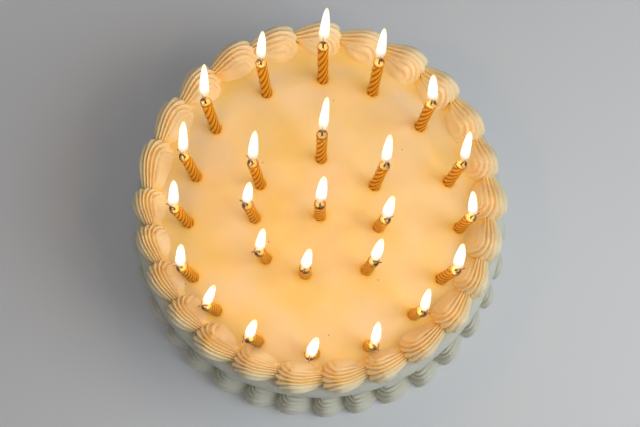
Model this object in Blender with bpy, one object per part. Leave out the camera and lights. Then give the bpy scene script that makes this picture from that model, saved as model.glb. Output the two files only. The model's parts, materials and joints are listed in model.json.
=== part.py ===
"""A round birthday cake in buttercream, with two piped shell borders and twenty-five twisted candles.

The cake stands on the XY plane with its axis on +Z, and its front, where the eye comes from, is -Y.
The cake is one solid, since nothing of its inside shows, with a blind hole where each candle is
pushed in. Each border is one piped ring. Each candle and each wick is a solid of its own.
Everything is in metres.
"""

import math

import bmesh
import bpy
from mathutils import Matrix, Vector

MM = 0.001
UP = Vector((0, 0, 1))
GAP = 0.3 * MM  # left between neighbours that touch on the real cake
CREASE = math.radians(35)  # faces that meet at more than this keep a sharp edge

# The iced cake: an eight-inch round under about four millimetres of icing.
CAKE_RADIUS = 105.6 * MM
CAKE_HEIGHT = 79.6 * MM
CAKE_SIDES = 48
RIM_ROUND = 2.5 * MM
RIM_STEPS = 2

# The top border: shells piped one over the tail of the last, counter-clockwise seen from above.
TOP_SHELLS = 25
TOP_START = 97  # degrees from +X to the front of the first shell
TOP_RING_RADIUS = 95.8 * MM
TOP_RING_TO_BACK = 1 * MM  # the ring is piped a little towards the back
TOP_HALF_WIDTH = 9.2 * MM
TOP_SHELL_HEIGHT = 11.5 * MM
TOP_FULLNESS = 0.82  # under 1 makes an arch squarer than round
TOP_RIDGES = 8
TOP_GROOVE = 0.17  # depth of the grooves as a share of the half width
TOP_CURL = 0.5  # radians by which the ridges bend inwards round a shell's head
TOP_UNEVENNESS = (  # degrees by which the hand moved each shell's front from its even place
    0, 0.5, 1.5, 1, 2, 4.5, 2.5, 1, 0.5, -1, -0.5, 0, 0.5,
    1, 0, 1, 0.5, -1, -1.5, -1.5, -2.5, -1.5, -2, -1.5, -0.5,
)

# The border at the foot of the cake, of plumper shells that lean on its side.
BASE_SHELLS = 33
BASE_START = 92  # degrees
BASE_WIDTH = 15.1 * MM
BASE_SHELL_HEIGHT = 16 * MM
BASE_ARCH_POINTS = 5
BASE_CREST = 0.45  # where the arch's middle stands, as a share of the width from the side
SIZE_UNEVENNESS = 0.05  # how much the shells differ in height

# Where the stations of one shell lie along it, with their share of its full width and height.
# On the top border also their share of the curl, and their drift outwards in half widths.
TOP_STATIONS = (
    (0.03, 0.64, 0.36, 1.0, -0.05),  # the foot of the head, on the tail before it
    (0.22, 0.99, 0.94, 0.4, 0.0),  # the fullest part of the head
    (0.53, 0.94, 1.00, 0.0, 0.04),  # the back
    (0.88, 0.66, 0.58, 0.0, 0.12),  # the tail
)
BASE_STATIONS = (
    (0.03, 0.66, 0.50),
    (0.20, 0.98, 0.93),
    (0.48, 0.98, 1.00),
    (0.84, 0.74, 0.72),
)

# The candles: thin tapers twisted one full turn, pushed a little way into the icing.
CANDLE_LENGTH = 60 * MM
CANDLE_IN_CAKE = 10.3 * MM
CANDLE_RADIUS = 3.0 * MM
CANDLE_FLUTES = 6
CANDLE_STEPS = 10
CANDLE_TURNS = 1.0
TWIST_BETWEEN = 2.4  # radians by which each candle is turned about itself after the last
POOL_RADIUS = 2.2 * MM  # the melted hollow round the wick
POOL_DEPTH = 1.2 * MM

# The wicks: burnt to a curl that points away from the middle of the cake and a little to the back.
WICK_LENGTH = 8.5 * MM
WICK_RADIUS = 0.65 * MM
WICK_TAPER = 0.4
WICK_SIDES = 3
WICK_STEPS = 3
WICK_BEND = math.radians(50)
WICK_TO_BACK = 0.5

# Each ring of candles: radius, how far its middle lies towards the front, and for each candle, from
# the back and clockwise, how the hand placed it: mm outwards and mm clockwise from its even place,
# then mm that its top leans towards +X and +Y.
OUTER_RING = (78 * MM, 3 * MM, (
    (1, 2, 0, 2), (0, 1, 0.5, 0.5), (-1, 5, 0, -1), (-3, 11, -0.5, -0.5),
    (1, 8, -2, -1.5), (-1, 8, 0.5, 0.5), (-1, 3, -1, -0.5), (1, 3, -0.5, 0.5),
    (0, 3, -1.5, -0.5), (1, 4, -1, 1.5), (1, 2, 1, 0.5), (1, -6, 1.5, 1),
    (-4, -5, 0.5, 0), (-5, -7, 1, 0.5), (-1, -7, 0.5, 1.5), (-1, -1, 0, 1),
))
INNER_RING = (36.5 * MM, 5.5 * MM, (
    (-2, 1, 0.5, 1.5), (-1, 9, 2, 1), (-3, 5, 0, -3), (3, 2, 1, 0),
    (-5, 8, 1, -1.5), (1, 5, 0, -1.5), (0, 0, 0, -0.5), (1, -10, -0.5, 1.5),
))
MIDDLE = (0, 4.2 * MM, ((0, 0.4, 0, -1.5),))


def material(name, colour, roughness, metallic=0.0):
    made = bpy.data.materials.new(name)
    made.use_nodes = True
    shader = made.node_tree.nodes["Principled BSDF"]
    shader.inputs["Base Color"].default_value = (*colour, 1)
    shader.inputs["Roughness"].default_value = roughness
    shader.inputs["Metallic"].default_value = metallic
    return made


def add_object(name, mesh, finish):
    """A new object of this bmesh, shaded smooth but for its creases."""
    data = bpy.data.meshes.new(name)
    bmesh.ops.recalc_face_normals(mesh, faces=mesh.faces)
    mesh.to_mesh(data)
    mesh.free()
    data.materials.append(finish)
    data.shade_smooth()
    data.set_sharp_from_angle(angle=CREASE)
    made = bpy.data.objects.new(name, data)
    bpy.context.scene.collection.objects.link(made)
    return made


def ring_point(radius, angle, height):
    """A point on a circle round the Z axis."""
    return Vector((radius * math.cos(angle), radius * math.sin(angle), height))


def unevenness(number):
    """A share from -1 to 1 that changes from piece to piece as handwork does."""
    return 0.6 * math.sin(2.4 * number) + 0.4 * math.sin(5.1 * number + 1)


def bridged(mesh, loops, closed):
    """Faces from each loop of vertices to the next, and from the last to the first if closed."""
    count = len(loops[0])
    ahead = loops[1:] + loops[:1] if closed else loops[1:]
    for here, there in zip(loops, ahead):
        for i in range(count):
            j = (i + 1) % count
            mesh.faces.new((here[i], there[i], there[j], here[j]))


# ---------------------------------------------------------------- borders


def shell_fronts(count, start, offsets):
    """The angle of each shell's front, and of the first one again after a full turn."""
    step = 360 / count
    fronts = [math.radians(start + step * i + offsets[i]) for i in range(count)]
    return fronts + [fronts[0] + 2 * math.pi]


def top_section(angle, size, width, height, curl, drift):
    """An arch with sharp grooves on the flat top of the cake, from its outer foot to its inner one."""
    middle = TOP_RING_RADIUS + TOP_HALF_WIDTH * drift
    points = []
    for i in range(2 * TOP_RIDGES + 1):
        turn = math.pi * i / (2 * TOP_RIDGES)
        swirl = turn + TOP_CURL * curl * math.sin(turn)
        reach = 1.0 if i % 2 else 1.0 - TOP_GROOVE
        across = math.copysign(abs(math.cos(swirl)) ** TOP_FULLNESS, math.cos(swirl))
        up = max(0.0, math.sin(swirl)) ** TOP_FULLNESS
        radius = middle + TOP_HALF_WIDTH * width * reach * across
        rise = TOP_SHELL_HEIGHT * size * height * reach * up
        points.append(ring_point(radius, angle, CAKE_HEIGHT + GAP + rise))
    return points


def base_section(angle, size, width, height):
    """A smooth arch that stands on the ground and leans against the side of the cake."""
    side = CAKE_RADIUS + GAP
    middle = side + BASE_WIDTH * width * BASE_CREST
    half = BASE_WIDTH * width * (1 - BASE_CREST)
    last_turn = math.acos(-BASE_CREST / (1 - BASE_CREST))  # where the arch meets the side again
    points = [ring_point(side, angle, 0)]
    for i in range(BASE_ARCH_POINTS):
        turn = last_turn * i / (BASE_ARCH_POINTS - 1)
        rise = BASE_SHELL_HEIGHT * size * height * math.sin(turn)
        points.append(ring_point(middle + half * math.cos(turn), angle, rise))
    return points


def border(name, fronts, stations, section, finish):
    """One ring through every station of every shell."""
    mesh = bmesh.new()
    loops = []
    for number, front in enumerate(fronts[:-1]):
        length = fronts[number + 1] - front
        size = 1 + SIZE_UNEVENNESS * unevenness(number)
        for place, *shares in stations:
            points = section(front + place * length, size, *shares)
            loops.append([mesh.verts.new(point) for point in points])
    bridged(mesh, loops, closed=True)
    return add_object(name, mesh, finish)


def top_border(finish):
    fronts = shell_fronts(TOP_SHELLS, TOP_START, TOP_UNEVENNESS)
    ring = border("top_border", fronts, TOP_STATIONS, top_section, finish)
    ring.location.y = TOP_RING_TO_BACK


def base_border(finish):
    offsets = [unevenness(number) for number in range(BASE_SHELLS)]
    fronts = shell_fronts(BASE_SHELLS, BASE_START, offsets)
    border("base_border", fronts, BASE_STATIONS, base_section, finish)


# ---------------------------------------------------------------- candles


def candle_places():
    """Where each candle meets the icing and which way it leans, ring by ring."""
    places = []
    for radius, towards_front, candles in (OUTER_RING, INNER_RING, MIDDLE):
        for i, (outwards, clockwise, lean_x, lean_y) in enumerate(candles):
            angle = math.pi / 2 - 2 * math.pi * i / len(candles)
            out = ring_point(1, angle, 0)
            along = ring_point(1, angle - math.pi / 2, 0)
            foot = out * (radius + outwards * MM) + along * clockwise * MM
            foot += Vector((0, -towards_front, CAKE_HEIGHT))
            lean = Vector((lean_x * MM, lean_y * MM, CANDLE_LENGTH - CANDLE_IN_CAKE))
            places.append((foot, lean.normalized()))
    return places


def candle_mesh(name, finish):
    """A twisted column from its foot in the cake to the hollow melted in its top."""
    mesh = bmesh.new()

    def loop(radius, height, turned):
        turns = [turned + 2 * math.pi * i / CANDLE_FLUTES for i in range(CANDLE_FLUTES)]
        return [mesh.verts.new(ring_point(radius, turn, height)) for turn in turns]

    loops = []
    for step in range(CANDLE_STEPS + 1):
        share = step / CANDLE_STEPS
        height = share * CANDLE_LENGTH - CANDLE_IN_CAKE
        loops.append(loop(CANDLE_RADIUS, height, share * CANDLE_TURNS * 2 * math.pi))
    top = CANDLE_LENGTH - CANDLE_IN_CAKE
    loops.append(loop(POOL_RADIUS, top - POOL_DEPTH, CANDLE_TURNS * 2 * math.pi))
    bridged(mesh, loops, closed=False)
    mesh.faces.new(reversed(loops[0]))
    mesh.faces.new(loops[-1])
    return add_object(name, mesh, finish)


def wick_mesh(name, finish):
    """A tapering thread that bends over towards its own +X as it rises."""
    mesh = bmesh.new()
    bend_radius = WICK_LENGTH / WICK_BEND
    loops = []
    for step in range(WICK_STEPS + 1):
        share = step / WICK_STEPS
        bend = share * WICK_BEND
        middle = Vector((bend_radius * (1 - math.cos(bend)), 0, bend_radius * math.sin(bend)))
        across = Vector((math.cos(bend), 0, -math.sin(bend)))
        radius = WICK_RADIUS * (1 - WICK_TAPER * share)
        points = []
        for i in range(WICK_SIDES):
            turn = 2 * math.pi * i / WICK_SIDES
            spoke = across * math.cos(turn) + Vector((0, math.sin(turn), 0))
            points.append(middle + radius * spoke)
        loops.append([mesh.verts.new(point) for point in points])
    bridged(mesh, loops, closed=False)
    mesh.faces.new(reversed(loops[0]))
    mesh.faces.new(loops[-1])
    return add_object(name, mesh, finish)


def wick_heading(foot):
    """The way a wick curls, from +X: away from the cake's middle, and somewhat to the back."""
    away = Vector((foot.x, foot.y, 0)).normalized() + Vector((0, WICK_TO_BACK, 0))
    return math.atan2(away.y, away.x)


def candles(candle_finish, wick_finish):
    for number, (foot, lean) in enumerate(candle_places(), start=1):
        stand = bpy.data.objects.new(f"stand_{number:02d}", None)
        bpy.context.scene.collection.objects.link(stand)
        stand.location = foot
        stand.rotation_mode = "QUATERNION"
        stand.rotation_quaternion = UP.rotation_difference(lean)

        candle = candle_mesh(f"candle_{number:02d}", candle_finish)
        candle.parent = stand
        candle.rotation_euler.z = TWIST_BETWEEN * number

        wick = wick_mesh(f"wick_{number:02d}", wick_finish)
        wick.parent = stand
        wick.location.z = CANDLE_LENGTH - CANDLE_IN_CAKE - POOL_DEPTH + GAP
        wick.rotation_euler.z = wick_heading(foot)


# ---------------------------------------------------------------- cake


def candle_holes():
    """The cutter for the holes: one six-sided peg for each candle, clear of it all round."""
    mesh = bmesh.new()
    depth = CANDLE_IN_CAKE + GAP
    above = 2 * MM
    corner = (CANDLE_RADIUS + GAP) / math.cos(math.pi / CANDLE_FLUTES)
    for foot, lean in candle_places():
        turned = UP.rotation_difference(lean)
        middle = foot + turned @ Vector((0, 0, (above - depth) / 2))
        bmesh.ops.create_cone(
            mesh,
            cap_ends=True,
            segments=CANDLE_FLUTES,
            radius1=corner,
            radius2=corner,
            depth=depth + above,
            matrix=Matrix.LocRotScale(middle, turned, None),
        )
    data = bpy.data.meshes.new("candle_holes")
    mesh.to_mesh(data)
    mesh.free()
    cutter = bpy.data.objects.new("candle_holes", data)
    bpy.context.scene.collection.objects.link(cutter)
    cutter.hide_render = True
    cutter.display_type = "WIRE"
    return cutter


def cake(finish):
    """A drum with a rounded rim and a hole for each candle."""
    mesh = bmesh.new()
    bmesh.ops.create_cone(
        mesh,
        cap_ends=True,
        segments=CAKE_SIDES,
        radius1=CAKE_RADIUS,
        radius2=CAKE_RADIUS,
        depth=CAKE_HEIGHT,
        matrix=Matrix.Translation((0, 0, CAKE_HEIGHT / 2)),
    )
    rim = [edge for edge in mesh.edges if min(v.co.z for v in edge.verts) > CAKE_HEIGHT - MM]
    bmesh.ops.bevel(mesh, geom=rim, offset=RIM_ROUND, segments=RIM_STEPS, profile=0.5, affect="EDGES")
    drum = add_object("cake", mesh, finish)
    holes = drum.modifiers.new("candle holes", "BOOLEAN")
    holes.operation = "DIFFERENCE"
    holes.solver = "EXACT"
    holes.object = candle_holes()


def main():
    for old in list(bpy.data.objects):
        bpy.data.objects.remove(old)
    icing = material("icing", (0.83, 0.74, 0.58), 0.55)
    piped = material("piped_icing", (0.85, 0.77, 0.62), 0.5)
    gold = material("gold_wax", (0.72, 0.42, 0.08), 0.3, metallic=0.5)
    char = material("burnt_wick", (0.06, 0.03, 0.03), 0.9)
    cake(icing)
    top_border(piped)
    base_border(piped)
    candles(gold, char)


main()
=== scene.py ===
# %% [markdown]
# # A birthday cake with burning candles
#
# The cake is a round of buttercream with a row of piped shells along its rim and a row of plumper
# shells at its foot. Twenty-five twisted gold candles burn on top. Its solids are already built, at
# their real size. This lesson loads them as a frame and dresses each in a finer shape and a finish
# of its own.

# %% Load the frame
import json
import math
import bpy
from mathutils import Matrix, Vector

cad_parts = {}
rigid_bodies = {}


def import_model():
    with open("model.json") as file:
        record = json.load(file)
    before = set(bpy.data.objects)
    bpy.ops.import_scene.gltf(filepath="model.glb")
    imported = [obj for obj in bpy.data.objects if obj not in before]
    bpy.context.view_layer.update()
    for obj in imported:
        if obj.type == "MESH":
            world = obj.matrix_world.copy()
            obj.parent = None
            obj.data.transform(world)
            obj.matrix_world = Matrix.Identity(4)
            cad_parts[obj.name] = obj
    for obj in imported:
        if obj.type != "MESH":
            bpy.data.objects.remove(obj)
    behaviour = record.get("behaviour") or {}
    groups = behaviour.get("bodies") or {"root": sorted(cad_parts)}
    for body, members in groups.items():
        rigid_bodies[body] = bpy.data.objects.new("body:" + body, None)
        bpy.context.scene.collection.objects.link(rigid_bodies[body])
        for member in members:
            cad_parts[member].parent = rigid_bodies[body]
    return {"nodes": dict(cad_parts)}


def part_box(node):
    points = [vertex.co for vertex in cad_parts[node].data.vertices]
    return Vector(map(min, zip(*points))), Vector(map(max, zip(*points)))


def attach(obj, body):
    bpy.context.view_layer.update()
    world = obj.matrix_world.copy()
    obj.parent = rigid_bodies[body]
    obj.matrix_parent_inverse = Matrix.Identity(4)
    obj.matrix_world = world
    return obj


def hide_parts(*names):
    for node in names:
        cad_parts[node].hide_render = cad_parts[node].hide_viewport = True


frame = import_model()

from types import SimpleNamespace

import bpy
import numpy as np
from mathutils import Vector, geometry

MM = 0.001
scene = bpy.context.scene
solids = frame["nodes"]
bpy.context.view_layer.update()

# %% [markdown]
# ## The camera
#
# The eye hangs over the front half of the cake and looks almost straight down. That shows the rings
# of candles as a clock face, the top border whole, and only a little of the cake's side. The plain
# "Standard" view keeps the saturated golds of candlelight, which the filmic views would wash out.

# %% Camera
LENS = 50
EYE = (0.0004, -0.0816, 0.5756)  # metres
TIPPED = 9.03  # degrees away from straight down
camera_data = bpy.data.cameras.new("camera")
camera_data.lens = LENS
camera = bpy.data.objects.new("camera", camera_data)
camera.location = EYE
camera.rotation_euler.x = math.radians(TIPPED)
scene.collection.objects.link(camera)
scene.camera = camera
scene.view_settings.view_transform = "Standard"
print(f"camera {camera.location.z / MM:.0f} mm above the floor")

# %% [markdown]
# ## Reading sizes off the frame
#
# Each candle's foot, top and lean are read from its solid, and so is the place where each piped
# shell starts. A shell starts where the ring's crest is lowest, so the ring's points are sorted by
# their angle and gathered into sections, and the low sections are kept. The top row was piped a
# little off the cake's own middle, so its middle is given.

# %% Helpers that measure the solids
def points_of(name):
    """The corner points of a solid, each once, in millimetres."""
    corners = np.array([vertex.co for vertex in solids[name].data.vertices]) / MM
    return np.unique(corners.round(3), axis=0)


def end_of(points, way):
    """The middle of a rod's top, or of its foot where `way` is -1."""
    height = way * points[:, 2]
    return points[height >= height.max() - SHORT].mean(axis=0)


def shell_starts(name, centre, low_share, gap=0.8):
    """The angles where a ring's crest is low. Sections lie over `gap` degrees apart."""
    points = points_of(name) - centre
    angle = np.degrees(np.arctan2(points[:, 1], points[:, 0])) % 360
    order = np.argsort(angle)
    angle, height = angle[order], points[order, 2]
    breaks = np.flatnonzero(np.diff(angle) > gap) + 1
    sections = list(zip(np.split(angle, breaks), np.split(height, breaks)))
    full = height.max() - height.min()
    low = height.min() + low_share * full
    return [float(a.mean()) for a, h in sections if h.max() < low]


# %% Measure the cake, the borders and the candles
CAKE_LOW, CAKE_HIGH = (np.array(corner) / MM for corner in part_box("cake"))
CAKE_RADIUS = (CAKE_HIGH[0] - CAKE_LOW[0]) / 2
CAKE_TOP = CAKE_HIGH[2]
CANDLES = 25
SHORT = 0.6  # mm of height within which the points of a candle's end lie
candle_nodes = [f"candle_{number:02d}" for number in range(1, CANDLES + 1)]
wick_nodes = [f"wick_{number:02d}" for number in range(1, CANDLES + 1)]
lows = np.array([end_of(points_of(name), -1) for name in candle_nodes])
tops = np.array([end_of(points_of(name), 1) for name in candle_nodes])
wick_tips = np.array([end_of(points_of(name), 1) for name in wick_nodes])
shares = (CAKE_TOP - lows[:, 2]) / (tops[:, 2] - lows[:, 2])
feet = lows + shares[:, None] * (tops - lows)
TOP_CENTRE = np.array((-0.4, 2.5, 0))  # mm
rim_starts = shell_starts("top_border", TOP_CENTRE, low_share=0.45)
foot_starts = shell_starts("base_border", np.zeros(3), low_share=0.6)
print(f"cake {2 * CAKE_RADIUS:.1f} mm across, top at {CAKE_TOP:.1f} mm")
print(f"{len(rim_starts)} shells on the rim, {len(foot_starts)} at the foot")
print(f"candles stand {(tops - feet)[:, 2].mean():.1f} mm out of the icing")

# %% [markdown]
# ## Node maths as arithmetic
#
# Both the geometry and the finishes are built from nodes. `Wire` wraps a node's output, so that
# `1 - groove * 0.5` adds the Math nodes that work it out. Any other node comes from `Wire.node`,
# which sets the node's own settings first and then gives its sockets their values or links.

# %% The Wire class
class Wire:
    """The output of a node, or with no socket the start of an empty tree."""

    def __init__(self, tree, socket=None):
        self.tree = tree
        self.socket = socket

    def node(self, kind, inputs=None, output=0, **settings):
        """Adds a node and returns the wire from one of its outputs."""
        made = self.tree.nodes.new(kind)
        for name, value in settings.items():
            if name == "stops":
                set_stops(made.color_ramp, value)
            else:
                setattr(made, name, value)
        for key, value in (inputs or {}).items():
            if isinstance(value, Wire):
                self.tree.links.new(value.socket, made.inputs[key])
            else:
                made.inputs[key].default_value = value
        return Wire(self.tree, made.outputs[output]) if made.outputs else None

    def out(self, name):
        """Another output of the same node."""
        return Wire(self.tree, self.socket.node.outputs[name])

    def maths(self, operation, *values):
        return self.node("ShaderNodeMath", dict(enumerate(values)), operation=operation)

    def __add__(self, other):
        return self.maths("ADD", self, other)

    def __sub__(self, other):
        return self.maths("SUBTRACT", self, other)

    def __rsub__(self, other):
        return self.maths("SUBTRACT", other, self)

    def __mul__(self, other):
        return self.maths("MULTIPLY", self, other)

    def __truediv__(self, other):
        return self.maths("DIVIDE", self, other)

    def __rtruediv__(self, other):
        return self.maths("DIVIDE", other, self)

    def __pow__(self, other):
        return self.maths("POWER", self, other)

    def __abs__(self):
        return self.maths("ABSOLUTE", self)

    __radd__ = __add__
    __rmul__ = __mul__

    def clipped(self, low, high):
        """0 where this is at most low, 1 where it is at least high, and straight between."""
        ends = {"Value": self, "From Min": low, "From Max": high}
        return self.node("ShaderNodeMapRange", ends)

    def mixed(self, first, second):
        """The first colour where this is 0 and the second where it is 1."""
        sockets = {0: self, 6: first, 7: second}
        return self.node("ShaderNodeMix", sockets, output=2, data_type="RGBA")

    def moved(self, offset):
        """This place or vector with another vector added."""
        return self.node("ShaderNodeVectorMath", {0: self, 1: offset}, operation="ADD")

    def scaled(self, factor):
        """This vector, so many times as long."""
        return self.node("ShaderNodeVectorMath", {0: self, "Scale": factor}, operation="SCALE")


def set_stops(ramp, stops):
    """Gives a colour ramp these (place, colour) stops."""
    for place, _ in stops[2:]:
        ramp.elements.new(place)
    for element, (place, colour) in zip(ramp.elements, stops):
        element.position = place
        element.color = colour


# %% [markdown]
# ## Growing a mesh from a tree
#
# Every repeated piece is made the same way. A small mesh holds one point for each copy, with named
# attributes for what differs. A node tree puts a copy on each point, bends and roughens the result,
# and ends by making it real and giving it its material. `grown` runs the tree and keeps its result
# as a plain mesh.

# %% Meshes, trees and objects
def linked(name, data):
    made = bpy.data.objects.new(name, data)
    scene.collection.objects.link(made)
    return made


def mesh_of(name, points_mm, faces, **values):
    """A mesh from points in millimetres, with a named value for each point."""
    mesh = bpy.data.meshes.new(name)
    mesh.from_pydata((np.asarray(points_mm) * MM).tolist(), [], faces)
    for key, numbers in values.items():
        numbers = np.asarray(numbers, float)
        kind, slot = ("FLOAT", "value") if numbers.ndim == 1 else ("FLOAT_VECTOR", "vector")
        mesh.attributes.new(key, kind, "POINT").data.foreach_set(slot, numbers.ravel())
    return mesh


def smooth_step(x):
    """Goes smoothly from 0 at 0 to 1 at 1."""
    x = np.clip(x, 0, 1)
    return x * x * (3 - 2 * x)


def rising(x, start, width):
    """Goes smoothly from 0 at the start to 1 this width further on."""
    return smooth_step((x - start) / width)


def stack_faces(rings, around):
    """The faces of a closed stack of rings of points that are stored ring by ring."""
    faces = []
    for ring in range(rings - 1):
        for i in range(around):
            here, there = ring * around + i, ring * around + (i + 1) % around
            faces.append((here, there, there + around, here + around))
    faces.append(tuple(range(around))[::-1])
    faces.append(tuple(range((rings - 1) * around, rings * around)))
    return faces


def new_tree(name, **sockets):
    """A geometry tree with named inputs, and the wires from them."""
    tree = bpy.data.node_groups.new(name, "GeometryNodeTree")
    tree.interface.new_socket("Geometry", in_out="INPUT", socket_type="NodeSocketGeometry")
    tree.interface.new_socket("Geometry", in_out="OUTPUT", socket_type="NodeSocketGeometry")
    for key, kind in sockets.items():
        title = key.replace("_", " ").capitalize()
        tree.interface.new_socket(title, in_out="INPUT", socket_type=f"NodeSocket{kind}")
    entry = tree.nodes.new("NodeGroupInput")
    wires = {socket.name: Wire(tree, socket) for socket in entry.outputs if socket.name}
    return tree, Wire(tree), wires


def named(start, name, kind="FLOAT"):
    return start.node("GeometryNodeInputNamedAttribute", {"Name": name}, data_type=kind)


def spun(start, name):
    """A turn about the upright by a named angle."""
    inputs = {"Axis": (0, 0, 1), "Angle": named(start, name)}
    return start.node("FunctionNodeAxisAngleToRotation", inputs)


def copied(start, inputs):
    """Puts a copy of the instance on each point, and makes the copies real."""
    copies = start.node("GeometryNodeInstanceOnPoints", inputs)
    return start.node("GeometryNodeRealizeInstances", {"Geometry": copies})


def roughened(start, shape, lump_size, unevenness, detail=1.0):
    """Pushes a shape in and out along its normals by noise, so that no two copies are alike."""
    lumps = start.node("ShaderNodeTexNoise", {"Scale": 1 / lump_size, "Detail": detail})
    push = start.node("GeometryNodeInputNormal").scaled((lumps - 0.5) * unevenness)
    return start.node("GeometryNodeSetPosition", {"Geometry": shape, "Offset": push})


def finish_tree(start, shape, finish):
    """Ends a tree: the copies become real, shade smooth and take their material."""
    smooth = start.node("GeometryNodeSetShadeSmooth", {"Geometry": shape})
    real = start.node("GeometryNodeRealizeInstances", {"Geometry": smooth})
    painted = start.node("GeometryNodeSetMaterial", {"Geometry": real, "Material": finish})
    start.node("NodeGroupOutput", {"Geometry": painted})


def grown(name, source, tree, values):
    """Runs a tree on a source mesh and returns an object with the resulting plain mesh."""
    made = linked(name, source)
    modifier = made.modifiers.new("grow", "NODES")
    modifier.node_group = tree
    for item in tree.interface.items_tree:
        if item.in_out == "INPUT" and item.name in values:
            modifier[item.identifier] = values[item.name]
    graph = bpy.context.evaluated_depsgraph_get()
    mesh = bpy.data.meshes.new_from_object(
        made.evaluated_get(graph), preserve_all_data_layers=True, depsgraph=graph
    )
    made.modifiers.clear()
    made.data = mesh
    mesh.name = name
    print(f"{name}: {len(mesh.vertices)} points, {len(mesh.polygons)} faces")
    return made


def placed(piece, replaced=()):
    """Joins a finished piece to the frame."""
    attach(piece, "root")
    if replaced:
        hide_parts(*replaced)


# %% [markdown]
# ## Finishes
#
# Buttercream is matt to satin, a little see-through at its thin edges, and never one even colour.
# It holds small air bubbles, and the knife or the nozzle drags it into faint streaks: both are bump.
# Where candlelight gathers, in creases and close to a candle, the cream glows golden, and where only
# the room lights it, outside the rim, it is cooler. Both are painted in through values that the
# meshes carry. A few crumbs that stuck to the knife lie on the top, far apart.

# %% A new material
def new_material(name, **constants):
    """A Principled material, the wire that starts its tree, and its shader node."""
    made = bpy.data.materials.new(name)
    made.use_nodes = True
    shader = made.node_tree.nodes["Principled BSDF"]
    for key, value in constants.items():
        shader.inputs[key.replace("_", " ")].default_value = value
    return made, Wire(made.node_tree), shader


def feed(shader, **wires):
    for key, wire in wires.items():
        wire.tree.links.new(wire.socket, shader.inputs[key.replace("_", " ")])


def noise(start, size_mm, detail=2.0, roughness=0.5, place=None):
    """Noise from 0 to 1 whose lumps are about this many millimetres across."""
    place = place or start.node("ShaderNodeTexCoord", output="Object")
    inputs = {"Vector": place, "Scale": 1 / (size_mm * MM), "Detail": detail, "Roughness": roughness}
    return start.node("ShaderNodeTexNoise", inputs)


def bumped(start, height, depth_mm):
    return start.node("ShaderNodeBump", {"Height": height, "Distance": depth_mm * MM})


def attribute(start, name):
    return start.node("ShaderNodeAttribute", output="Fac", attribute_name=name)


# %% Icing, spread and piped
PALE_CREAM = (0.94, 0.755, 0.48, 1)
WARM_CREAM = (0.95, 0.715, 0.28, 1)
LIGHT_CREAM = (0.97, 0.83, 0.56, 1)
GLOW_CREAM = (1.0, 0.63, 0.04, 1)
SHADED_CREAM = (0.74, 0.40, 0.03, 1)
COOL_SHADE_CREAM = (0.68, 0.69, 0.605, 1)
CRUMB = (0.42, 0.20, 0.05, 1)
CRUMBS_APART = 55  # mm
CRUMB_WIDE = 0.45  # mm from the middle of a crumb to its edge
CRUMB_DARK = 0.4  # the share of that which has its full colour
PATCH, STREAK, BUBBLE = 38, 6, 0.9  # mm across
STREAKY = 0.65  # how much of the relief is streaks
RELIEF = 0.25  # mm
GLOW_STRENGTH, SHADE_STRENGTH = 0.8, 0.6  # how strong the painted candlelight glow and the painted shade in the grooves are
KNIFE_DRAG = (1, 0.25, 1)


def icing(name, first, second, drag=(1, 1, 1), crumbs=False):
    """Buttercream of two creams, with painted light: a golden candlelight glow, a brown shade in the
    grooves and a cool shade where only the room lights it.
    """
    made, start, shader = new_material(
        name, Subsurface_Weight=0.3, Subsurface_Scale=0.002,
        Subsurface_Radius=(1.0, 0.5, 0.15), Specular_IOR_Level=0.35,
    )
    place = start.node("ShaderNodeTexCoord", output="Object")
    slow = noise(start, PATCH, detail=3)
    bubbles = noise(start, BUBBLE, detail=3, roughness=0.6)
    dragged = start.node("ShaderNodeMapping", {"Vector": place, "Scale": drag})
    streaks = noise(start, STREAK, detail=4, place=dragged)
    colour = slow.clipped(0.35, 0.65).mixed(first, second)
    # Painted light: a golden candlelight glow, a brown shade in the grooves and a cool shade where
    # only the room lights the cream
    colour = (attribute(start, "deep") * GLOW_STRENGTH).mixed(colour, GLOW_CREAM)
    colour = (attribute(start, "groove") * SHADE_STRENGTH).mixed(colour, SHADED_CREAM)
    colour = attribute(start, "outside").mixed(colour, COOL_SHADE_CREAM)
    if crumbs:
        cells = {"Vector": place, "Scale": 1 / (CRUMBS_APART * MM)}
        away = start.node("ShaderNodeTexVoronoi", cells, voronoi_dimensions="2D")
        edge = CRUMB_WIDE / CRUMBS_APART
        colour = away.clipped(edge, CRUMB_DARK * edge).mixed(colour, CRUMB)
    rough = 0.42 + 0.2 * slow + 0.08 * bubbles
    height = bubbles * (1 - STREAKY) + streaks * STREAKY
    feed(shader, Base_Color=colour, Roughness=rough, Normal=bumped(start, height, RELIEF))
    return made


spread_icing = icing("spread_buttercream", PALE_CREAM, WARM_CREAM, KNIFE_DRAG, crumbs=True)
piped_icing = icing("piped_buttercream", LIGHT_CREAM, PALE_CREAM)
print(f"{spread_icing.name} and {piped_icing.name} are ready")

# %% [markdown]
# The candles are wax under a gold lacquer, worn in flecks. Painted shade darkens the grooves between
# the flutes, which are also less metallic, so the `groove` value that the twisted shape carries drives
# the colour.
# The melted wax at the top is yellow, with a browned lip, and darker on its outer side.

# %% Gold wax, melted wax and wick
GOLD = (0.72, 0.36, 0.012, 1)
WORN_GOLD = (0.80, 0.43, 0.02, 1)
GROOVE_SHADE_GOLD = (0.36, 0.13, 0.002, 1)
NEAR_BLACK = (0.05, 0.025, 0.02, 1)
ASH = (0.20, 0.08, 0.09, 1)
POOL = (0.60, 0.47, 0.17, 1)
POOL_RIM = (0.24, 0.09, 0.01, 1)
FLECK, POOL_LUMP, ASH_FLAKE = 1.2, 1.5, 0.7  # mm across


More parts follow.
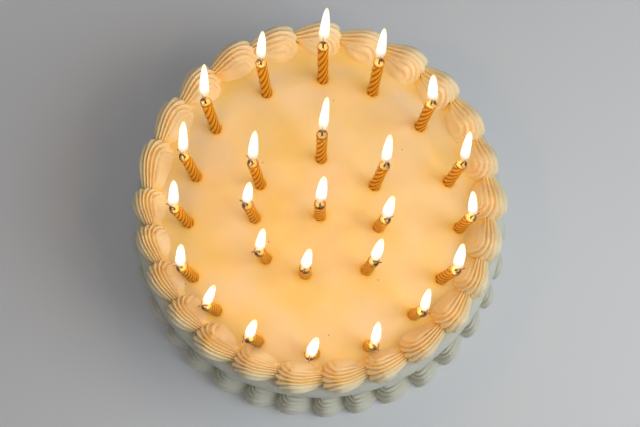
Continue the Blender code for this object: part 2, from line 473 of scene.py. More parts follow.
def gold_wax():
    made, start, shader = new_material("lacquered_wax", Specular_IOR_Level=0.08)
    flecks = noise(start, FLECK, detail=3)
    groove = attribute(start, "groove")
    colour = flecks.clipped(0.4, 0.6).mixed(GOLD, WORN_GOLD)
    # Painted shade darkens the grooves between the flutes
    colour = groove.clipped(0.03, 0.55).mixed(colour, GROOVE_SHADE_GOLD)
    metal, rough = 0.4 - 0.35 * groove, 0.34 + 0.2 * flecks + 0.1 * groove
    bump = bumped(start, flecks, 0.1)
    feed(shader, Base_Color=colour, Metallic=metal, Roughness=rough, Normal=bump)
    return made


def melted_wax():
    made, start, shader = new_material("melted_wax", Roughness=0.12, Coat_Weight=0.6)
    lumps = noise(start, POOL_LUMP)
    lip = attribute(start, "out") + 0.3 * (lumps - 0.5)
    colour = lip.clipped(0.6, 0.85).mixed(POOL, POOL_RIM)
    # Darker on each cup's outer side, by its `ahead` value
    outer_dark = attribute(start, "ahead") + 0.8 * (lumps - 0.5)
    colour = outer_dark.clipped(0.35, 0.6).mixed(colour, NEAR_BLACK)
    feed(shader, Base_Color=colour, Normal=bumped(start, lumps, 0.3))
    return made


def burnt_wick():
    made, start, shader = new_material("charred_cotton")
    ash = noise(start, ASH_FLAKE, detail=3)
    colour = ash.clipped(0.4, 0.7).mixed(NEAR_BLACK, ASH)
    feed(shader, Base_Color=colour, Roughness=0.8 + 0.15 * ash, Normal=bumped(start, ash, 0.2))
    return made


gold, melted, char = gold_wax(), melted_wax(), burnt_wick()
print(f"{gold.name}, {melted.name} and {char.name} are ready")

# %% [markdown]
# A flame lights itself. At its foot it is dim amber and almost clear, from a third of its height up
# it is white, and its very tip is warmer again. The height along the flame is an attribute, `up`,
# that goes from 0 to 1.

# %% Flame
FLAME_STRENGTH = 1.3
FLAME_COLOURS = (
    (0.0, (0.55, 0.28, 0.12, 1)),
    (0.1, (0.62, 0.36, 0.18, 1)),
    (0.2, (0.95, 0.74, 0.50, 1)),
    (0.32, (1.0, 0.95, 0.84, 1)),
    (0.88, (1.0, 0.95, 0.84, 1)),
    (1.0, (1.0, 0.78, 0.45, 1)),
)
SOLID_FROM = 0.42  # the share of its height above which it isn't clear
CLEARS = 1.6  # how fast it clears below that


def burning():
    made, start, shader = new_material(
        "burning", Base_Color=(0, 0, 0, 1), Roughness=1, Emission_Strength=FLAME_STRENGTH
    )
    up = attribute(start, "up")
    colour = start.node("ShaderNodeValToRGB", {"Fac": up}, stops=FLAME_COLOURS)
    feed(shader, Emission_Color=colour, Alpha=up.clipped(0.0, SOLID_FROM) ** CLEARS)
    return made


fire = burning()
print(f"{fire.name} is ready")

# %% [markdown]
# ## The spread icing
#
# The icing on top was levelled with a long knife, so it is nearly flat, with slow waves. Round each
# candle it was pushed down into a small well with a soft lip. The points lie three millimetres apart
# in general and in close circles round each candle, and a Delaunay triangulation joins them.

# %% Where the points of the top lie
RIM_ROUND = 5.0  # mm, the radius of the rounded rim
AROUND = 192  # points round the rim
SPACING = 3.0  # mm between the points in general
ROW_SPACING = np.sqrt(0.75)  # as a share of that, between rows
STRAY = 0.6  # mm by which a point may be off the grid
# mm from a candle's middle, and how high the icing stands there
WELL_RINGS = ((2.4, -1.2), (2.9, -0.3), (3.3, 0.15), (4.0, 0.35), (5.1, 0.15), (6.6, 0.03))
WELL_AROUND = 20
WELL_REACH = WELL_RINGS[-1][0]
GLOW_FROM, GLOW_FADES = 3, 2.6  # mm from a candle's middle, and over which the painted candlelight glow fades
rng = np.random.default_rng(7)


def circle(radius, count, centre=(0, 0)):
    turn = 2 * np.pi * np.arange(count) / count
    return np.stack([centre[0] + radius * np.cos(turn), centre[1] + radius * np.sin(turn)], axis=1)


def top_points():
    """The points of the top in plan, the rim's own circle first."""
    reach = CAKE_RADIUS - RIM_ROUND
    steps = np.arange(-reach, reach, SPACING)
    field = np.stack(np.meshgrid(steps, steps * ROW_SPACING), axis=-1).reshape(-1, 2)
    field += rng.uniform(-STRAY, STRAY, field.shape)
    clear = np.hypot(*field.T) < reach - 0.6 * SPACING
    for foot in feet:
        clear &= np.hypot(*(field - foot[:2]).T) > WELL_REACH + 1
    wells = [circle(radius, WELL_AROUND, foot[:2]) for foot in feet for radius, _ in WELL_RINGS]
    return np.concatenate([circle(reach, AROUND), field[clear], *wells])


def waves(x, y, seed=0.0):
    """The slow waves of half a millimetre that a long knife leaves."""
    return (
        0.22 * np.sin(x / 17 + 1.3 + seed)
        + 0.18 * np.sin(y / 13 - x / 31 + 0.4)
        + 0.12 * np.sin((x + y) / 7.5 + 2 + seed)
        + 0.07 * np.sin(x / 4.1 - y / 5.3)
    )


def top_height(plan):
    """How far each point of the top stands over or under the level, and how near a candle it is."""
    height = waves(*plan.T)
    near = np.zeros(len(plan))
    for foot in feet:
        away = np.hypot(*(plan - foot[:2]).T)
        height += np.interp(away, *np.array(WELL_RINGS).T, right=0) * (away < WELL_REACH + 0.01)
        near = np.maximum(near, np.exp(-(((away - GLOW_FROM) / GLOW_FADES).clip(0) ** 2)))
    return height, near


# %% The iced cake
RIM_ROWS = 5
SIDE_ROWS = 24
LEVEL = CAKE_TOP - 0.3  # the waves and wells are measured from here
CREASE_FROM, CREASE_WIDE = 81, 6.5  # mm from the middle, where the painted candlelight glow in the crease beside the top row is
COOL_FROM, COOL_WIDE = 97, 5  # and where painted cool shade starts, as only the room lights the cake there
GLOW_SHARE = 0.7  # how strong the painted golden candlelight glow gets


def rim_and_side_levels():
    """The (radius, height) of each row of points from the top's edge down to the foot."""
    bends = np.linspace(0, np.pi / 2, RIM_ROWS + 1)[1:]
    levels = [
        (CAKE_RADIUS - RIM_ROUND * (1 - np.sin(bend)), LEVEL - RIM_ROUND * (1 - np.cos(bend)))
        for bend in bends
    ]
    return levels + [(CAKE_RADIUS, z) for z in np.linspace(levels[-1][1], 0, SIDE_ROWS)[1:]]


def glow(points, near):
    """How much painted candlelight glow each point of the cake has, and how much painted cool shade
    where only the room lights it.
    """
    x, y = (points - TOP_CENTRE)[:, :2].T
    away = np.hypot(x, y)
    turn = np.arctan2(y, x)
    # Painted candlelight glow round the candle feet and in the crease beside the top row
    patchy = (0.68 + 0.32 * np.sin(7 * turn + 1) * np.sin(3 * turn)) * (0.7 + 0.3 * np.cos(turn - 0.7))
    crease_glow = GLOW_SHARE * rising(away, CREASE_FROM, CREASE_WIDE) * patchy
    return np.maximum(GLOW_SHARE * near, crease_glow), rising(away, COOL_FROM, COOL_WIDE)


def iced_top():
    """The top's points and faces, how near a candle each point is, and the rim's points in turn."""
    corners = [Vector(point) for point in top_points().tolist()]
    flat, _, faces, *_ = geometry.delaunay_2d_cdt(corners, [], [], 0, 1e-6)
    flat = np.array(flat)
    height, near = top_height(flat)
    away = np.hypot(*flat.T)
    height *= 10 * (1 - (away / (CAKE_RADIUS - RIM_ROUND)).clip(0.9, 1))
    rim = np.argsort(-away)[:AROUND]
    rim = rim[np.argsort(np.arctan2(flat[rim, 1], flat[rim, 0]))]
    return np.column_stack([flat, LEVEL + height]), [tuple(face) for face in faces], near, rim.tolist()


def iced_cake():
    top, faces, near, rim = iced_top()
    points, rows, count = [top], [rim], len(top)
    turn = np.arctan2(top[rim, 1], top[rim, 0])
    for radius, z in rim_and_side_levels():
        soft = 0.5 * waves(turn * CAKE_RADIUS, z * 2.0, 1.7) - 0.4
        wide = radius + soft * min(1, z / 5)
        points.append(np.column_stack([wide * np.cos(turn), wide * np.sin(turn), np.full(AROUND, z)]))
        rows.append(list(range(count, count + AROUND)))
        count += AROUND
    for above, below in zip(rows, rows[1:]):
        for i in range(AROUND):
            j = (i + 1) % AROUND
            faces.append((above[i], below[i], below[j], above[j]))
    faces.append(tuple(rows[-1][::-1]))
    points = np.concatenate(points)
    deep, outside = glow(points, np.concatenate([near, np.zeros(count - len(top))]))
    mesh = mesh_of("iced_cake", points, faces, deep=deep, outside=outside)
    mesh.shade_smooth()
    mesh.materials.append(spread_icing)
    return linked("iced_cake", mesh)


cake = iced_cake()
placed(cake, ["cake"])
print(f"{cake.name}: {len(cake.data.polygons)} faces")

# %% [markdown]
# ## A piped shell
#
# A shell is piped with a star nozzle. The hand presses until a round head swells up, then draws
# back along the row and lets off, so that the head runs out in a tail. The star's teeth leave
# ridges. They run out together in the tail, pass along the outer side, and wrap round the head in
# one C outside the next, because the hand makes a small curl as it presses.
#
# So the points lie on rings that shrink from the shell's outline to the middle of the curl. The
# height is a dome that gets lower towards the tail, and the grooves between the ridges are pressed
# in along the normal. Ridges that followed the rings would all wrap round the head, and ridges that
# kept their place across the shell would all end at its outline as free lips. The real ones lie
# between the two, so each is a line along which a mix of the two counts stays the same.

# %% Helpers for piped shells
RING_STEPS = 6  # rings of points for each ridge
INNERMOST = 0.03  # the size of the last ring, as a share of the first
ROUND = 84  # points on each ring
HEAD_DENSE = 0.45  # how much closer together they lie round the head
SQUARE = 0.88  # under 1 makes an ellipse's flanks fuller
GROOVE_SHARP = 1.5  # over 1 makes the grooves narrow
WIDEST_RIDGE = 3.0  # mm


def squared(wave):
    """A sine or cosine with fuller flanks, which makes a circle a little square."""
    return np.sign(wave) * np.abs(wave) ** SQUARE


def dome_normals(surface):
    """The outward normals of rings of points that shrink and rise."""
    inwards = np.gradient(surface, axis=0)
    around = np.roll(surface, -1, axis=1) - np.roll(surface, 1, axis=1)
    normal = np.cross(around, inwards)
    return normal / np.linalg.norm(normal, axis=2, keepdims=True).clip(1e-9)


def widths(surface, k, count):
    """How wide a ridge is at each point, from how fast the ridge count changes there."""
    inwards = np.linalg.norm(np.gradient(surface, k[:, 0], axis=0), axis=2)
    around = np.linalg.norm(np.roll(surface, -1, axis=1) - np.roll(surface, 1, axis=1), axis=2)
    count_around = np.roll(count, -1, axis=1) - np.roll(count, 1, axis=1)
    count_inwards = np.gradient(count, k[:, 0], axis=0)
    ridges_per_mm = np.hypot(count_inwards / inwards, count_around / around.clip(1e-6))
    return (1 / ridges_per_mm.clip(1e-6)).clip(0, WIDEST_RIDGE)


def blended(first, second, share):
    """The sizes between two forms."""
    return {key: first[key] + (second[key] - first[key]) * share for key in first}


# %% The forms of the shells
# Lengths are in shell lengths and widths in half widths. +Y is the side towards the cake's middle.
# The row was piped a little differently as it went round: at the front left the ridges fan out
# and end in free lips, and at the back right they wrap round the head.
RIM_FRONT = {
    "ridges": 7,
    "free": 0.8,  # 0 where all ridges wrap round the head, 1 where all end at its outline
    "flare": 0.3,  # how much the free ends spread
    "depth": 0.75,  # how deep the grooves are, in ridge widths
    "head": 0.43,  # how far the middle of the head is from its end
    "tail": 1.32,  # how far the tail reaches
    "tail_y": 0.15,  # where the tail ends, across
    "tail_wide": 0.52,  # and how wide it is there
    "swirl_x": 0.34,  # where the middle of the curl is, along
    "swirl_y": 0.42,  # and across
    "gentle": 1.3,  # how much gentler the inner flank is
    "outwards": 0.35,  # how far the crest is shifted to the outer side
    "falls": 0.45,  # how much lower the tail is
    "bulge": 1.0,  # mm that the outer flank hangs over its foot
    "inner_fade": 0.7,  # how much shallower the grooves are on the inner flank
    "smooth_ahead": 0.0,  # how much shallower they are in the tail
    "amber": 1.0,  # how strong the painted shade in the grooves is
    "inner_amber": 0.5,  # and the painted candlelight glow where the inner flank meets the next shell
    "outside": 0.92,  # from where the outer flank has painted cool shade
}
RIM_BACK = {
    **RIM_FRONT,
    "ridges": 5.5,
    "free": 0.65,
    "flare": 0.15,
    "depth": 0.6,
    "tail_y": -0.1,
    "tail_wide": 0.62,
    "swirl_x": 0.36,
    "swirl_y": 0.6,
    "gentle": 1.0,
    "inner_fade": 0.45,
    "amber": 0.6,
    "inner_amber": 0.9,
    "outside": 0.75,
}
FOOT_FRONT = {
    **RIM_FRONT,
    "ridges": 5,
    "free": 0.4,
    "tail": 1.25,
    "tail_y": 0.25,
    "tail_wide": 0.8,
    "gentle": 0.0,
    "outwards": 0.2,
    "falls": 0.5,
    "bulge": 0.0,
    "inner_fade": 0.0,
    "smooth_ahead": 0.85,
    "outside": -2,  # painted cool shade on all of it
}
FOOT_BACK = {**FOOT_FRONT, "swirl_y": 0.5}
print(f"{RIM_FRONT['ridges']} ridges on a rim shell at the front, {FOOT_FRONT['ridges']} at the foot")


# %% One shell
def shell_plan(length, half_width, form):
    """The points of a shell in plan, ring by ring, and where each lies in the shell."""
    k = np.linspace(1, INNERMOST, round(form["ridges"] * RING_STEPS) + 1)[:, None]
    turn = 2 * np.pi * np.arange(ROUND)[None, :] / ROUND
    turn = turn + HEAD_DENSE * np.sin(turn)
    ahead, beside = squared(np.cos(turn)), squared(np.sin(turn))
    head, tail = form["head"] * length, form["tail"] * length
    swirl_x = form["swirl_x"] * length
    centre_x = swirl_x + (head - swirl_x) * k
    reach = (tail - centre_x) * (0.8 + 0.2 * k)
    x = centre_x + np.where(ahead < 0, ahead * k * head, ahead * reach)
    past = rising(x, head, tail - head)
    wide = half_width * (1 - (1 - form["tail_wide"]) * past)
    spine = form["tail_y"] * half_width * past
    swirl_y = form["swirl_y"] * half_width
    y = spine + swirl_y * (1 - k) * (1 - past) + beside * k * wide
    off_head = np.where(x < head, (x - head) / head, (x - head) / (tail - head))
    off_spine = (y - spine) / wide
    power = 2 / SQUARE
    out = (np.abs(off_head) ** power + np.abs(off_spine) ** power).clip(0, 1)
    return x, y, SimpleNamespace(k=k, off_head=off_head, off_spine=off_spine, out=out)


def shell_dome(x, y, at, length, height, form):
    """The smooth dome over the plan, whose outer flank hangs over its foot."""
    gentle = 0.5 + form["gentle"] * smooth_step(at.off_spine)
    rise = (1 - at.out) ** gentle * (1 - form["outwards"] * at.off_spine)
    z = height * rise * (1 - form["falls"] * rising(x / length, 0.4, 0.65))
    hang = form["bulge"] * 4 * (rise * (1 - rise)).clip(0)
    x = x - hang * smooth_step(-1.5 * at.off_head)
    y = y - hang * smooth_step(-1.5 * at.off_spine)
    return np.stack([x, y, z], axis=2)


def shell_ridges(at, form):
    """The ridge count at each point, how far down a groove it is, and how much groove depth is kept
    there.
    """
    free = form["free"]
    spread = 1 - form["flare"] * smooth_step(-at.off_head)
    across = (form["swirl_y"] - at.off_spine * spread) / (1 + form["swirl_y"])
    count = form["ridges"] * ((1 - free) * at.k + free * across)
    groove = np.abs(2 * (count % 1) - 1) ** GROOVE_SHARP
    ridged = 1 - (1 - free) * (1 - smooth_step(at.k / 0.2))
    ridged = ridged * (1 - form["inner_fade"] * rising(at.off_spine, 0.2, 0.6))
    ridged = ridged * (1 - rising(at.off_spine, 0.3, 0.3) * rising(at.out, 0.65, 0.3))
    ridged = ridged * (1 - form["smooth_ahead"] * rising(at.along, 0.35, 0.3))
    return count, groove, ridged


def shell_colours(at, ridge_wide, grooved, form):
    """How much painted candlelight glow, painted shade in the grooves and painted cool shade each
    point gets.
    """
    # Painted candlelight glow where the inner flank meets the top and the next shell
    inner_foot = 0.2 * rising(at.off_spine, 0.1, 0.5) * rising(at.out, 0.4, 0.5)
    inner_tail = smooth_step(at.off_spine + 0.6) * rising(at.along, 0.82, 0.22)
    inner = form["inner_amber"] * (inner_foot + inner_tail).clip(0, 1)
    # Painted shade in the narrow grooves
    groove_shade = form["amber"] * grooved * (1 - rising(ridge_wide, 2.3, 0.7))
    # Painted cool shade on the outer flank, where only the room lights it
    cool_shade = 0.8 * rising(-at.off_spine, form["outside"], 0.25)
    # The painted glow also warms the painted shade in the grooves
    warm_glow = np.maximum(0.8 * groove_shade, inner)
    return {"deep": warm_glow.ravel(), "groove": groove_shade.ravel(), "outside": cool_shade.ravel()}


def piped_shell(name, length, half_width, height, form):
    """A shell along X: its head is at 0, its tail past its length."""
    x, y, at = shell_plan(length, half_width, form)
    smooth = shell_dome(x, y, at, length, height, form)
    at.along = smooth[:, :, 0] / length
    count, groove, ridged = shell_ridges(at, form)
    ridge_wide = widths(smooth, at.k, count)
    depth = form["depth"] * ridge_wide * groove * ridged
    surface = smooth - dome_normals(smooth) * depth[:, :, None]
    surface[0, :, 2] = 0
    surface[:, :, 2] = np.maximum(surface[:, :, 2], 0)
    colours = shell_colours(at, ridge_wide, groove * ridged, form)
    return mesh_of(name, surface.reshape(-1, 3), stack_faces(len(at.k), ROUND), **colours)


# %% [markdown]
# ## A row of shells
#
# The row is piped straight, along X, and then bent into a ring. Each point of the source mesh is one
# shell's start and says how long, wide and high that shell is, and which of the four models it
# copies. A little noise along the normals takes away the likeness between copies.

# %% The tree that pipes a row
MODELS = 4  # from the front form to the back form
HAND_WIDE, HAND_HIGH = (0.95, 1.05), (0.93, 1.05)  # how uneven the hand is
HAND_SHIFT = 0.4  # mm to either side of the row
BACK = 50  # degrees round to where the shells have the back form
MIXED = 0.6  # how far a shell's model may be from that of its place
PIPED_LUMP, PIPED_UNEVEN = 14, 0.9  # mm across and mm high


def piped_row_tree():
    tree, start, wires = new_tree(
        "piped_row", shells="Collection", ring_radius="Float", centre="Vector",
        unevenness="Float", lump_size="Float", icing="Material",
    )
    inputs = {"Collection": wires["Shells"], "Separate Children": True, "Reset Children": True}
    models = start.node("GeometryNodeCollectionInfo", inputs)
    inputs = {"Points": wires["Geometry"], "Instance": models, "Pick Instance": True}
    inputs["Instance Index"] = named(start, "model", "INT")
    inputs["Scale"] = named(start, "stretch", "FLOAT_VECTOR")
    row = copied(start, inputs)
    place = start.node("GeometryNodeInputPosition")
    apart = start.node("ShaderNodeSeparateXYZ", {"Vector": place})
    turn = apart / wires["Ring radius"]
    reach = wires["Ring radius"] - apart.out("Y")
    right, back = reach * turn.maths("COSINE", turn), reach * turn.maths("SINE", turn)
    bent = start.node("ShaderNodeCombineXYZ", {"X": right, "Y": back, "Z": apart.out("Z")})
    inputs = {"Geometry": row, "Position": bent.moved(wires["Centre"])}
    ring = start.node("GeometryNodeSetPosition", inputs)
    uneven = roughened(start, ring, wires["Lump size"], wires["Unevenness"], detail=2.0)
    finish_tree(start, uneven, wires["Icing"])
    return tree


def row_points(starts, ring_radius, level, squeeze, swell, seed):
    """One point for each shell, with its own stretch and the number of the model it copies.

    `squeeze` is how many mm the row is pushed in at the right and left, and `swell` how much bigger
    its shells get towards the back.
    """
    starts = np.sort(np.radians(starts))
    gaps = np.diff(np.append(starts, starts[0] + 2 * np.pi))
    even = 2 * np.pi / len(starts)
    hand = np.random.default_rng(seed)
    count = len(starts)
    stretch = np.column_stack(
        [gaps / even, hand.uniform(*HAND_WIDE, count), hand.uniform(*HAND_HIGH, count)]
    )
    to_the_back = 0.5 + 0.5 * np.cos(starts - np.radians(BACK))
    stretch[:, 1:] *= 1 + swell * to_the_back[:, None]
    inward = hand.uniform(-HAND_SHIFT, HAND_SHIFT, count) + squeeze * np.cos(starts) ** 2
    places = np.column_stack([starts * ring_radius, inward, np.full(count, level)])
    mesh = mesh_of("row", places, [], stretch=stretch)
    model = to_the_back * MODELS * 0.999 + hand.uniform(-MIXED, MIXED, count)
    model = model.clip(0, MODELS - 1).astype(np.int32)
    mesh.attributes.new("model", "INT", "POINT").data.foreach_set("value", model)
    return mesh


def piped_ring(name, starts, ring_radius, centre, level, squeeze, swell, forms, sizes, seed):
    """A ring of shells, piped from several models of one size."""
    models = bpy.data.collections.new(name + "_models")
    scene.collection.children.link(models)
    length = 2 * np.pi * ring_radius / len(starts)
    for number in range(MODELS):
        form = blended(*forms, number / (MODELS - 1))
        mesh = piped_shell(f"{name}_{number}", length, *sizes, form)
        models.objects.link(bpy.data.objects.new(f"{name}_{number}", mesh))
    values = {
        "Shells": models,
        "Ring radius": ring_radius * MM,
        "Centre": [c * MM for c in centre],
        "Unevenness": PIPED_UNEVEN * MM,
        "Lump size": PIPED_LUMP * MM,
        "Icing": piped_icing,
    }
    ring = grown(name, row_points(starts, ring_radius, level, squeeze, swell, seed), piped_row, values)
    for helper in list(models.objects):
        bpy.data.objects.remove(helper)
    bpy.data.collections.remove(models)
    return ring


piped_row = piped_row_tree()

# %% The border on the rim and the border at the foot
SUNK = 0.8  # mm by which a shell's flat base is pressed into the icing under it
rim_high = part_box("top_border")[1].z / MM
RIM_RING, RIM_HALF_WIDE = 95.8, 9.6  # mm, the row's radius and half a shell's width
rim_sizes = (RIM_HALF_WIDE, rim_high - LEVEL + SUNK)
rim_shells = piped_ring(
    "rim_shells", rim_starts, RIM_RING, TOP_CENTRE, level=LEVEL - SUNK, squeeze=1.6, swell=0.12,
    forms=(RIM_FRONT, RIM_BACK), sizes=rim_sizes, seed=3,
)
placed(rim_shells, ["top_border"])

foot_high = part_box("base_border")[1].z / MM
FOOT_RING, FOOT_HALF_WIDE = 111.7, 9.3
foot_shells = piped_ring(
    "foot_shells", foot_starts, FOOT_RING, np.zeros(3), level=0, squeeze=0, swell=0,
    forms=(FOOT_FRONT, FOOT_BACK), sizes=(FOOT_HALF_WIDE, foot_high), seed=4,
)
placed(foot_shells, ["base_border"])

# %% [markdown]
# ## The twisted candles
#
# A cake candle is a rod of wax pulled through a die and twisted, which leaves round flutes with a
# sharp groove between each two. One candle is a fluted circle swept up a line that is tilted by a
# full turn. The tree then stands a copy on each foot, along that candle's own lean.

# %% The tree that twists and stands the candles
ROD_ROWS, ROD_AROUND = 64, 60  # points along a candle and round it
FLUTE_SHARP = 1.6  # over 1 makes the grooves between the flutes narrow
WAX_LUMP, WAX_UNEVEN = 3, 0.35  # mm across and mm high


def candle_tree():
    tree, start, wires = new_tree(
        "twisted_candles", length="Float", depth_in_cake="Float", radius="Float",
        flutes="Int", groove_depth="Float", turns="Float", wax="Material",
    )
    low = start.node("ShaderNodeCombineXYZ", {"Z": 0 - wires["Depth in cake"]})
    high = start.node("ShaderNodeCombineXYZ", {"Z": wires["Length"] - wires["Depth in cake"]})
    line = start.node("GeometryNodeCurvePrimitiveLine", {"Start": low, "End": high})
    line = start.node("GeometryNodeResampleCurve", {"Curve": line, "Count": ROD_ROWS})
    along = start.node("GeometryNodeSplineParameter")
    inputs = {"Geometry": line, "Name": "along", "Value": along}
    line = start.node("GeometryNodeStoreNamedAttribute", inputs)
    tilt = along * wires["Turns"] * (2 * math.pi)
    line = start.node("GeometryNodeSetCurveTilt", {"Curve": line, "Tilt": tilt})
    inputs = {"Resolution": ROD_AROUND, "Radius": wires["Radius"]}
    outline = start.node("GeometryNodeCurvePrimitiveCircle", inputs)
    wave = along * wires["Flutes"] * math.pi
    groove = (1 - abs(wave.maths("SINE", wave))) ** FLUTE_SHARP
    inputs = {"Geometry": outline, "Name": "groove", "Value": groove}
    outline = start.node("GeometryNodeStoreNamedAttribute", inputs)
    place = start.node("GeometryNodeInputPosition")
    pressed = place.scaled(1 - named(start, "groove") * wires["Groove depth"])
    profile = start.node("GeometryNodeSetPosition", {"Geometry": outline, "Position": pressed})
    inputs = {"Curve": line, "Profile Curve": profile, "Fill Caps": True}
    rod = start.node("GeometryNodeCurveToMesh", inputs)
    inputs = {"Rotation": spun(start, "spin"), "Vector": named(start, "lean", "FLOAT_VECTOR")}
    lean = start.node("FunctionNodeAlignRotationToVector", inputs, axis="Z")
    standing = copied(start, {"Points": wires["Geometry"], "Instance": rod, "Rotation": lean})
    uneven = roughened(start, standing, WAX_LUMP * MM, WAX_UNEVEN * MM)
    finish_tree(start, uneven, wires["Wax"])
    return tree


# %% The candles
CANDLE_RADIUS = 3.05  # mm
CUP_DEEP = 1.0  # mm of each candle's top that has melted into a cup
NEXT_TURN = 2.4  # radians by which each candle is turned from the last
leans = tops - feet
leans /= np.linalg.norm(leans, axis=1)[:, None]
candle_low = points_of("candle_01")[:, 2].min()
candle_long = np.linalg.norm(tops[0] - feet[0]) + (CAKE_TOP - candle_low)
stands = mesh_of("stands", feet, [], lean=leans, spin=NEXT_TURN * np.arange(CANDLES))
candle_values = {
    "Length": (candle_long - CUP_DEEP) * MM,
    "Depth in cake": float(CAKE_TOP - candle_low) * MM,
    "Radius": CANDLE_RADIUS * MM,
    "Flutes": 6,
    "Groove depth": 0.2,  # as a share of the radius
    "Turns": 1.0,
    "Wax": gold,
}
candles = grown("candles", stands, candle_tree(), candle_values)
placed(candles, candle_nodes)

# %% [markdown]
# ## Melted tops, wicks and flames
#
# Round the wick the wax has melted into a small shiny cup with an uneven lip. The wick stands in
# it, bent over by the fire, and the flame leans to the back in the draught of the room. All three
# are copied to the candles by one tree, which stands each copy upright and then pushes it over:
# every point moves towards the copy's `tip` by a share that grows with its height, `up`.

# %% The tree that copies and bends
def topping_tree():
    tree, start, wires = new_tree(
        "toppings", model="Object", bend="Float",
        unevenness="Float", lump_size="Float", finish="Material",
    )
    model = start.node("GeometryNodeObjectInfo", {"Object": wires["Model"]}, output="Geometry")
    inputs = {"Points": wires["Geometry"], "Instance": model, "Rotation": spun(start, "turn")}
    inputs["Scale"] = named(start, "size", "FLOAT_VECTOR")
    upright = copied(start, inputs)
    lean = named(start, "tip", "FLOAT_VECTOR").scaled(named(start, "up") ** wires["Bend"])
    bent = start.node("GeometryNodeSetPosition", {"Geometry": upright, "Offset": lean})
    uneven = roughened(start, bent, wires["Lump size"], wires["Unevenness"])
    finish_tree(start, uneven, wires["Finish"])
    return tree


def turned_mesh(name, profile, around):
    """A closed turned shape from (radius, height) pairs in millimetres, the lowest first."""
    radius, height = np.array(profile).T
    turn = 2 * np.pi * np.arange(around) / around
    x, y = np.outer(radius, np.cos(turn)), np.outer(radius, np.sin(turn))
    rings = np.stack([x, y, np.outer(height, np.ones(around))], axis=2)
    points = rings.reshape(-1, 3)
    up = (points[:, 2] - height.min()) / np.ptp(height)
    out = np.repeat(radius, around) / radius.max()
    ahead = points[:, 0] / radius.max()
    faces = stack_faces(len(profile), around)
    return mesh_of(name, points, faces, up=up, out=out, ahead=ahead)


def topped(name, model, places, tips, sizes, values):
    """Copies a model to each place, bent to its own tip."""
    outwards = np.arctan2(*np.asarray(places)[:, 1::-1].T)
    source = mesh_of("places", places, [], tip=np.asarray(tips) * MM, size=sizes, turn=outwards)
    helper = linked(name + "_model", model)
    made = grown(name, source, topping, {"Model": helper, **values})
    bpy.data.objects.remove(helper)
    return made


topping = topping_tree()
ones = np.ones((CANDLES, 3))
unbent = np.zeros((CANDLES, 3))

# %% Melted cups and wicks
# (radius, height) in mm from the cup's underside over its lip to the middle of the pool
CUP = (
    (2.3, -1.6), (2.85, -1.2), (3.0, -0.6), (2.95, 0.0), (2.7, 0.3), (2.4, 0.25),
    (2.1, -0.2), (1.6, -0.55), (0.8, -0.7), (0.1, -0.72),
)
cup_values = {"Bend": 1.0, "Unevenness": 0.5 * MM, "Lump size": 4 * MM, "Finish": melted}
cups = topped("melted_cups", turned_mesh("cup", CUP, 28), tops, unbent, ones, cup_values)
placed(cups)

WICK_FOOT, WICK_TAPER = 0.55, 0.22  # mm, its radius at the foot and how much is gone at the tip
WICK = [(WICK_FOOT - WICK_TAPER * h, h) for h in np.linspace(0, 1, 9)]
wick_base = tops - leans * CUP_DEEP
wick_high = (wick_tips - wick_base)[:, 2]
wick_sizes = np.column_stack([ones[:, :2], wick_high])
wick_over = (wick_tips - wick_base) * (1, 1, 0)
wick_values = {"Bend": 1.8, "Unevenness": 0.3 * MM, "Lump size": 0.9 * MM, "Finish": char}
wicks = topped("wicks", turned_mesh("wick", WICK, 10), wick_base, wick_over, wick_sizes, wick_values)
placed(wicks, wick_nodes)

# %% The flames
FLAME_HIGH = 15.3  # mm
FLAME_WIDE = 2.7  # mm from its middle to its side
FLAME_BASE = 5.2  # mm above the wax
FLAME_BACK = 0.07  # how much of its lean a flame already has at its base
FLAME_ROUND = 0.26  # the share of its height over which it widens
FLAME_BLUNT = 2.2  # the higher, the later it narrows
UNEVEN_FLAMES = ((0.9, 1.08), (0.9, 1.08), (0.96, 1.0))  # along X, Y and Z
# How far the draught pushes each tip to the right and to the back, in mm
DRAUGHT = (
    (2, 13), (1.5, 11), (-1, 9), (1.5, 12), (-2, 9.5), (1, 10.5), (1.5, 9.5), (1.5, 10.5),
    (3.5, 7.5), (4.5, 7.5), (6, 8), (2.5, 8.5), (2.5, 10.5), (2, 13), (1.5, 13.5), (2, 10),
    (2.5, 14), (1.5, 11), (2.5, 8), (3, 8.5), (2.5, 7), (3, 8.5), (2.5, 7.5), (2.5, 12), (2, 10),
)


def flame_profile(steps=26):
    """A long drop: round below, widest at a quarter of its height, and blunt at its tip."""
    shape = []
    for h in np.linspace(0.004, 0.999, steps):
        below = np.sqrt(1 - (1 - min(h / FLAME_ROUND, 1)) ** 2)
        above = np.sqrt(1 - h**FLAME_BLUNT)
        shape.append((FLAME_WIDE * below * above, h))
    return shape


flicker = np.random.default_rng(11)
flame_sizes = [flicker.uniform(*ends, CANDLES) for ends in UNEVEN_FLAMES]
flame_sizes = np.column_stack(flame_sizes) * (1, 1, FLAME_HIGH)
flame_lean = np.column_stack([np.array(DRAUGHT), np.zeros(CANDLES)])
flame_tips = (1 - FLAME_BACK) * flame_lean
flame_values = {"Bend": 1.15, "Unevenness": 0.5 * MM, "Lump size": 7 * MM, "Finish": fire}
flame_feet = tops + (0, 0, FLAME_BASE) + FLAME_BACK * flame_lean
flame = turned_mesh("flame", flame_profile(), 16)
flames = topped("flames", flame, flame_feet, flame_tips, flame_sizes, flame_values)
flames.visible_shadow = False
flames.visible_diffuse = False
placed(flames)

# %% [markdown]
# ## Light and floor
#
# The studio light is soft and plain: a pale surround and one large cool panel. Each flame also
# carries a small warm lamp. The lamps get stronger towards the border, where fewer neighbours help
# them. The flame's own mesh casts no shadow, or it would hide its lamp.

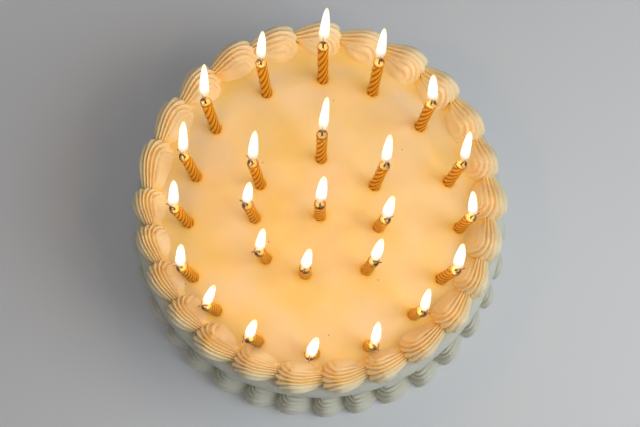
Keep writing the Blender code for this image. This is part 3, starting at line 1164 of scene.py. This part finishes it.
# %% Candlelight
CANDLE_COLOUR = (0.94, 0.60, 0.25)
CANDLE_WATTS = 0.0114
MIDDLE_SHARE, OUTER_SHARE = 0.7, 0.75  # of that in the middle, and how much more at the border
OUTER_CANDLES = 80  # mm from the middle to the outer candles
LAMP_RADIUS = 4  # mm
HEART = 0.3 * FLAME_HIGH  # the lamp's height in its flame
LEANING = 0.4  # how much of the flame's lean it has
for top, (right, back) in zip(tops, DRAUGHT):
    outwards = math.hypot(*top[:2]) / OUTER_CANDLES
    lamp = bpy.data.lights.new("candlelight", "POINT")
    lamp.energy = CANDLE_WATTS * (MIDDLE_SHARE + OUTER_SHARE * outwards**2)
    lamp.color = CANDLE_COLOUR
    lamp.shadow_soft_size = LAMP_RADIUS * MM
    heart = Vector(top) + Vector((LEANING * right, LEANING * back, FLAME_BASE + HEART))
    linked("candlelight", lamp).location = heart * MM
print(f"{CANDLES} lamps of about {CANDLE_WATTS} W")

# %% Studio
SURROUND = (0.96, 0.96, 1.0, 1)
SURROUND_STRENGTH = 0.24
PANEL_COLOUR = (0.88, 0.95, 1.0)
PANEL_WATTS = 3.3
PANEL_WIDE = 0.6  # metres
PANEL_PLACE = (0.62, -0.2, 0.62)
world = bpy.data.worlds.new("studio")
world.use_nodes = True
surround = world.node_tree.nodes["Background"]
surround.inputs["Color"].default_value = SURROUND
surround.inputs["Strength"].default_value = SURROUND_STRENGTH
scene.world = world

panel = bpy.data.lights.new("panel", "AREA")
panel.energy = PANEL_WATTS
panel.size = PANEL_WIDE
panel.color = PANEL_COLOUR
panel_holder = linked("panel", panel)
panel_holder.location = PANEL_PLACE
panel_holder.rotation_euler = (-panel_holder.location).to_track_quat("-Z", "Y").to_euler()

# %% Floor
FLOOR_HALF = 1500  # mm
FLOOR_GREY, FLOOR_PALE = (0.86, 0.86, 0.86, 1), (0.9, 0.9, 0.9, 1)
FLOOR_PATCH = 400  # mm
FLOOR_GAP = 0.05  # mm under the cake's flat foot
floor_material, floor_start, floor_shader = new_material("floor", Roughness=0.8)
floor_tone = noise(floor_start, FLOOR_PATCH).mixed(FLOOR_GREY, FLOOR_PALE)
feed(floor_shader, Base_Color=floor_tone)
floor_corners = [(x * FLOOR_HALF, y * FLOOR_HALF, 0) for x, y in ((-1, -1), (1, -1), (1, 1), (-1, 1))]
floor = linked("floor", mesh_of("floor", floor_corners, [(0, 1, 2, 3)]))
floor.data.materials.append(floor_material)
floor.location.z = -FLOOR_GAP * MM
print(f"floor {2 * FLOOR_HALF} mm square, panel {panel.energy:.1f} W")
